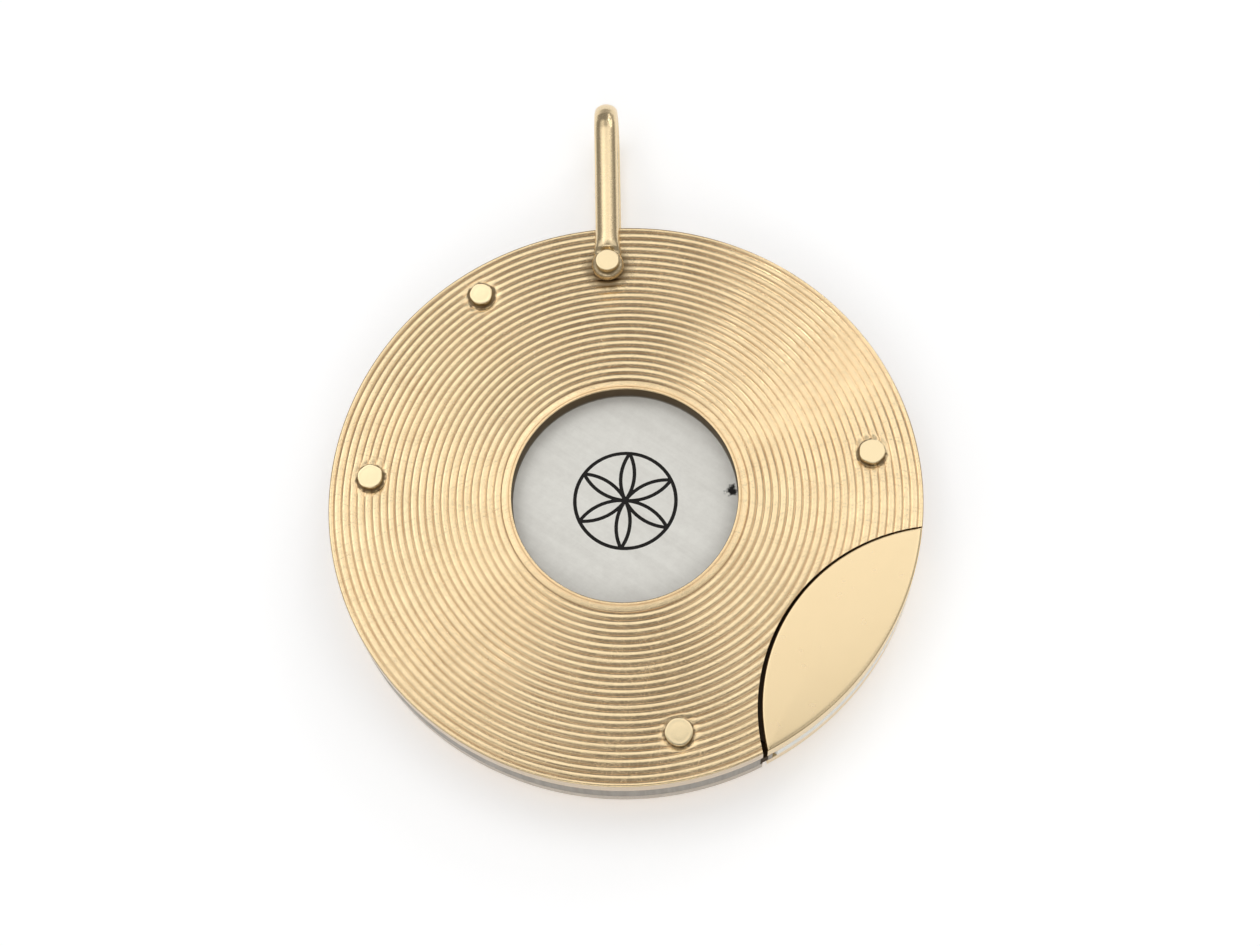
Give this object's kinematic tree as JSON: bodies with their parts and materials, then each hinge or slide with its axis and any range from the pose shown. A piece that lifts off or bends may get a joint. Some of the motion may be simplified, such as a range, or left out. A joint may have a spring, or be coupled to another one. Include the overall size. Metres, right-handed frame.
{
  "type": "pocket cigar cutter",
  "caption": "Round pocket cigar cutter on a swinging bail: engine-turned gold plates round a cigar hole, and a steel guillotine blade pulled out sideways by a lens-shaped grip.",
  "frame": {"origin": "centre of the cigar hole on the rear face", "axes": "+Z out of the front face along the hole, +Y from the hole to the bail's pin, +X to the right seen from the front; the blade pulls out at 39 degrees below +X"},
  "size_m": [0.042, 0.0531, 0.0067],
  "materials": {
    "turned_gold": "engine-turned, polished",
    "polished_gold": "fine satin",
    "wire_gold": "polished",
    "rivet_gold": "polished, hand-filed",
    "blade_steel": "brushed along the slide",
    "frame_steel": "satin",
    "liner_steel": "satin",
    "spring_steel": "tempered"
  },
  "bodies": {
    "case": {"bail_pin": "rivet_gold", "collar_front_left": "rivet_gold", "collar_front_lower": "rivet_gold", "collar_front_right": "rivet_gold", "collar_front_upper": "rivet_gold", "collar_rear_left": "rivet_gold", "collar_rear_lower": "rivet_gold", "collar_rear_right": "rivet_gold", "collar_rear_upper": "rivet_gold", "front_liner": "liner_steel", "front_plate": "turned_gold", "guide_frame": "frame_steel", "leaf_spring": "spring_steel", "rear_liner": "liner_steel", "rear_plate": "turned_gold", "rivet_left": "rivet_gold", "rivet_lower": "rivet_gold", "rivet_right": "rivet_gold", "rivet_upper": "rivet_gold"},
    "cutter": {"blade": "blade_steel", "front_cover": "polished_gold", "rear_cover": "polished_gold", "cover_pin_lower": "blade_steel", "cover_pin_upper": "blade_steel"},
    "bail": {"bail": "wire_gold"}
  },
  "joints": [
    {"name": "blade_slide", "type": "slide", "parent": "case", "child": "cutter", "axis": [0.7771, -0.6293, 0], "range_m": [0, 0.0176]},
    {"name": "bail_swing", "type": "hinge", "parent": "case", "child": "bail", "pos_m": [0, 0.01775, 0.00195], "axis": [0, 0, 1], "range_deg": [-80, 80]}
  ]
}
